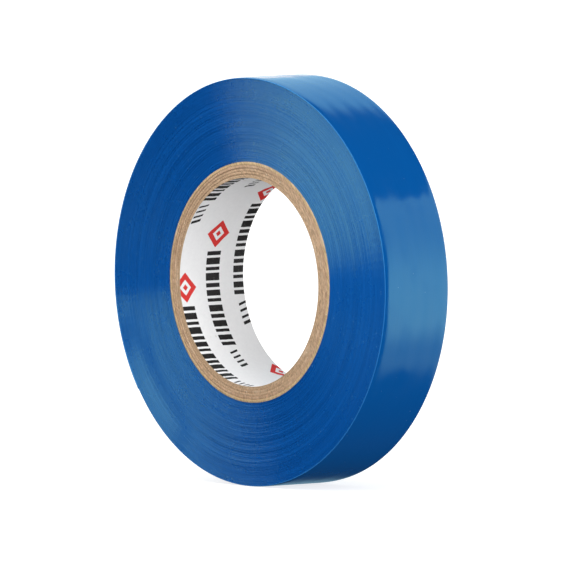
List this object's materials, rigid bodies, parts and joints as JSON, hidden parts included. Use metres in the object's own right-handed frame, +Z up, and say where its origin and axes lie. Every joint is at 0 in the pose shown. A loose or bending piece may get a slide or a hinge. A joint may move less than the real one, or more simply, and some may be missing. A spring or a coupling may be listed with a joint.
{
  "type": "electrical tape roll",
  "caption": "Roll of glossy blue PVC insulating tape wound on a spiral-wound cardboard core with a printed paper liner; the tape's free end peels off the roll.",
  "frame": {"origin": "on the axis of the core's bore, half-way across the roll's width", "axes": "+Y along the roll's axis, from the front face to the back face; +Z up, with the roll standing on its rim; +X to the right seen from the front. The tape is wound anticlockwise seen from the front, and its cut end lies low on the left."},
  "size_m": [0.0736, 0.0154, 0.0735],
  "materials": {
    "tape_film": "gloss",
    "core_board": "matt",
    "core_paper": "matt"
  },
  "bodies": {
    "roll": {"core_liner": "core_paper", "core_ply_inner": "core_board", "core_ply_second": "core_board", "core_ply_middle": "core_board", "core_ply_fourth": "core_board", "core_ply_outer": "core_board", "tape_wound_turns": "tape_film", "tape_outer_turn": "tape_film"},
    "free_end_1": {"tape_end_1": "tape_film"},
    "free_end_2": {"tape_end_2": "tape_film"},
    "free_end_3": {"tape_end_3": "tape_film"},
    "free_end_4": {"tape_end_4": "tape_film"}
  },
  "joints": [
    {"name": "tape_end_peel", "type": "hinge", "parent": "roll", "child": "free_end_1", "pos_m": [-0.0359, 0, 0.00829], "axis": [0, 1, 0], "range_deg": [0, 75]},
    {"name": "tape_end_bend_2", "type": "hinge", "parent": "free_end_1", "child": "free_end_2", "pos_m": [-0.03685, 0, 0.00064], "axis": [0, 1, 0], "range_deg": [0, 30]},
    {"name": "tape_end_bend_3", "type": "hinge", "parent": "free_end_2", "child": "free_end_3", "pos_m": [-0.03619, 0, -0.00703], "axis": [0, 1, 0], "range_deg": [0, 30]},
    {"name": "tape_end_bend_4", "type": "hinge", "parent": "free_end_3", "child": "free_end_4", "pos_m": [-0.03394, 0, -0.01441], "axis": [0, 1, 0], "range_deg": [0, 30]}
  ],
  "couplings": [
    {"joint": "tape_end_bend_2", "follows": "tape_end_peel", "ratio": 0.4},
    {"joint": "tape_end_bend_3", "follows": "tape_end_peel", "ratio": 0.4},
    {"joint": "tape_end_bend_4", "follows": "tape_end_peel", "ratio": 0.4}
  ]
}
